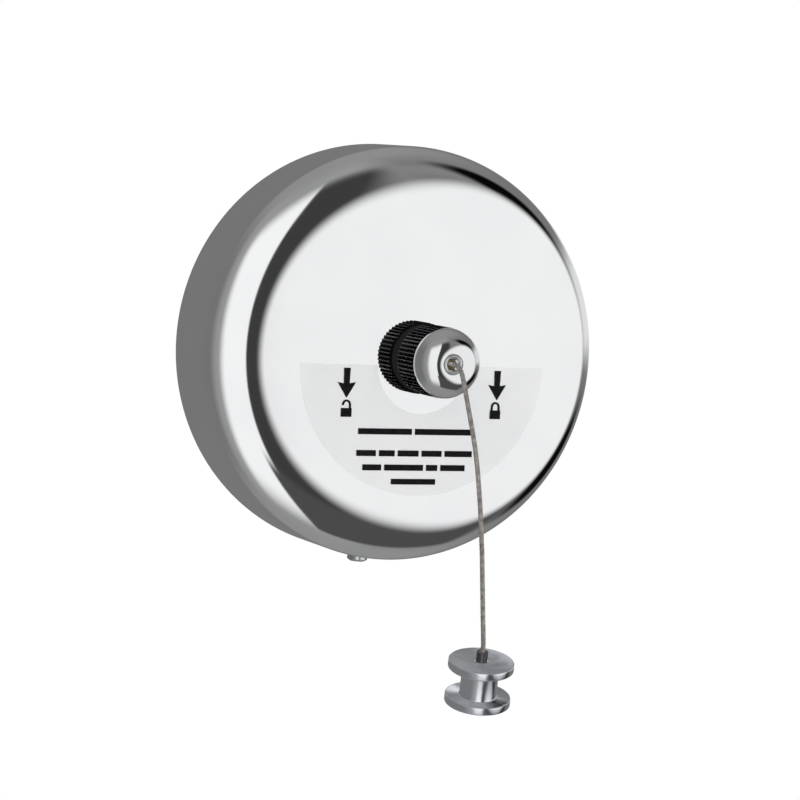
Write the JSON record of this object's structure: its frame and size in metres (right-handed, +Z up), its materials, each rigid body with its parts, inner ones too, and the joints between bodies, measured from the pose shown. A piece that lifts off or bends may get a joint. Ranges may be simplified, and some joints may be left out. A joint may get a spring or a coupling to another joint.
{
  "type": "retractable clothesline",
  "caption": "Round chrome wall case with a sprung reel of wire line, a knurled locking nose, and a turned knob hanging on the line.",
  "frame": {"origin": "centre of the wall plate's back face, on the wall", "axes": "+Y into the wall, +Z up, +X to the right seen from the front"},
  "size_m": [0.105, 0.0822, 0.1353],
  "materials": {
    "case_chrome": "polished",
    "nose_chrome": "polished, knurled",
    "bright_steel": "polished",
    "dark_steel": "satin",
    "plate_steel": "satin",
    "spring_steel": "tempered blue",
    "brass": "turned",
    "white_plastic": "moulded",
    "wire_line": "twisted strands",
    "label_film": "clear film",
    "knob_zinc": "turned and polished"
  },
  "bodies": {
    "case": {"wall_plate": "plate_steel", "case_shell": "case_chrome", "cover_screw": "bright_steel", "label_film": "label_film", "ring_washer": "dark_steel", "clamp_ring": "nose_chrome", "nose_tube": "brass", "line_bush": "white_plastic", "collet": "brass", "flange_screws": "bright_steel", "reel_housing": "white_plastic", "housing_back": "white_plastic", "housing_screws": "bright_steel", "reel_axle": "bright_steel", "axle_clip": "dark_steel", "power_spring": "spring_steel", "pulley_pin": "bright_steel", "inner_line": "wire_line"},
    "reel": {"reel": "white_plastic", "reel_bush": "brass", "wound_line": "wire_line"},
    "rim_pulley": {"guide_pulley": "white_plastic"},
    "clamp_slide": {"thrust_ring": "brass"},
    "nose_knob": {"lock_knob": "nose_chrome", "tip_eyelet": "bright_steel"},
    "hanging_line": {"free_line": "wire_line"},
    "line_end": {"line_ferrule": "dark_steel"},
    "bobbin": {"end_knob": "knob_zinc"}
  },
  "joints": [
    {"name": "reel_spin", "type": "hinge", "parent": "case", "child": "reel", "pos_m": [0, -0.012, 0], "axis": [0, 1, 0], "range_deg": [0, 90], "deforming": ["power_spring"]},
    {"name": "pulley_spin", "type": "hinge", "parent": "case", "child": "rim_pulley", "pos_m": [0.0221, -0.0168, 0.0364], "axis": [0, 1, 0], "range_deg": [0, 588]},
    {"name": "lock_travel", "type": "slide", "parent": "case", "child": "clamp_slide", "axis": [0, -1, 0], "range_m": [0, 0.0013]},
    {"name": "lock_turn", "type": "hinge", "parent": "clamp_slide", "child": "nose_knob", "pos_m": [0, -0.05, 0], "axis": [0, -1, 0], "range_deg": [0, 300]},
    {"name": "line_swing", "type": "hinge", "parent": "case", "child": "hanging_line", "pos_m": [0, -0.0572, 0], "axis": [0, 1, 0], "range_deg": [-60, 60]},
    {"name": "line_retract", "type": "slide", "parent": "hanging_line", "child": "line_end", "axis": [0, 0, 1], "range_m": [0, 0.041], "deforming": ["free_line"]},
    {"name": "bobbin_spin", "type": "hinge", "parent": "line_end", "child": "bobbin", "pos_m": [0, -0.0752, -0.0679], "axis": [0, -0.2588, 0.9659], "continuous": true}
  ],
  "couplings": [
    {"joint": "pulley_spin", "follows": "reel_spin", "ratio": 6.525},
    {"joint": "line_retract", "follows": "reel_spin", "m_per_rad": 0.0261},
    {"joint": "lock_travel", "follows": "lock_turn", "m_per_rad": 0.00023873}
  ]
}
